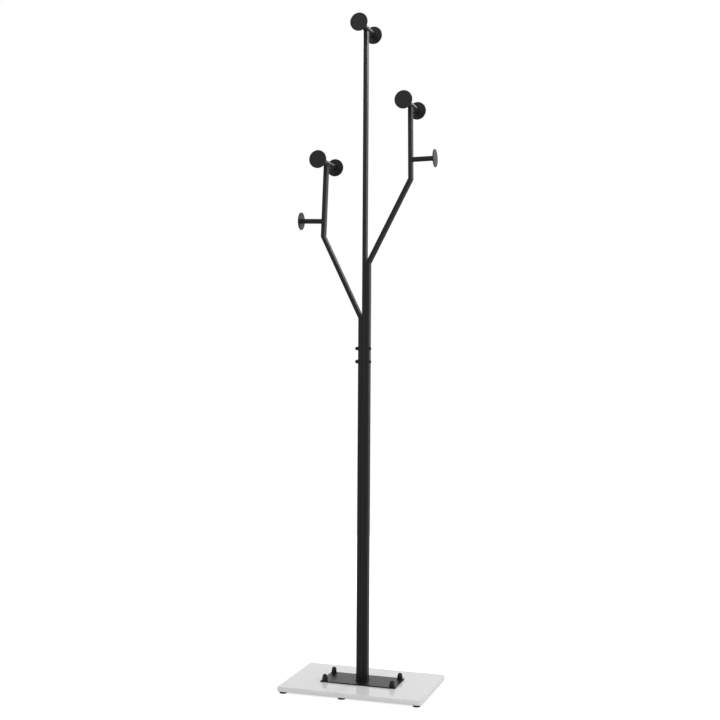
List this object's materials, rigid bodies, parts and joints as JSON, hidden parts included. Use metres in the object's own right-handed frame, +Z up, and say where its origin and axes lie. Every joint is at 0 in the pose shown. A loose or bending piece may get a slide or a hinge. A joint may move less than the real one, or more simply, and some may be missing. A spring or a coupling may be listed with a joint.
{
  "type": "standing coat rack",
  "caption": "Standing coat rack: black steel tubes branch like a tree from a flat rectangular stone base, with round rods and pegs that end in flat discs.",
  "frame": {"origin": "on the floor, in the middle of the stone base", "axes": "+Z up, +X to the right and +Y to the back as seen from the front. The branches lie in the XZ plane and the hook rods run along Y."},
  "size_m": [0.388, 0.254, 1.7615],
  "materials": {
    "black_powder_coat": "satin black powder coat with a fine orange-peel texture",
    "white_polished_stone": "polished white stone",
    "black_rubber": "matt moulded rubber",
    "black_fasteners": "black-finished steel, slightly glossy",
    "zinc_plated_steel": "dull zinc plating, hidden inside"
  },
  "bodies": {
    "root": {"base_bolts": "zinc_plated_steel", "base_cap_nuts": "black_fasteners", "base_washers": "black_fasteners", "centre_stem": "black_powder_coat", "column_tube_left": "black_powder_coat", "column_tube_middle": "black_powder_coat", "column_tube_right": "black_powder_coat", "flange_plate": "black_powder_coat", "foot_back_left": "black_rubber", "foot_back_middle": "black_rubber", "foot_back_right": "black_rubber", "foot_front_left": "black_rubber", "foot_front_middle": "black_rubber", "foot_front_right": "black_rubber", "left_back_disc": "black_powder_coat", "left_branch_arm": "black_powder_coat", "left_branch_root": "black_powder_coat", "left_branch_tip": "black_powder_coat", "left_front_disc": "black_powder_coat", "left_hook_rod": "black_powder_coat", "left_side_disc": "black_powder_coat", "left_side_peg": "black_powder_coat", "right_back_disc": "black_powder_coat", "right_branch_arm": "black_powder_coat", "right_branch_root": "black_powder_coat", "right_branch_tip": "black_powder_coat", "right_front_disc": "black_powder_coat", "right_hook_rod": "black_powder_coat", "right_side_disc": "black_powder_coat", "right_side_peg": "black_powder_coat", "splice_bolts": "black_fasteners", "splice_cap_nuts": "black_fasteners", "splice_tongue_left": "zinc_plated_steel", "splice_tongue_middle": "zinc_plated_steel", "splice_tongue_right": "zinc_plated_steel", "stone_base": "white_polished_stone", "top_back_disc": "black_powder_coat", "top_front_disc": "black_powder_coat", "top_hook_rod": "black_powder_coat"}
  },
  "joints": []
}
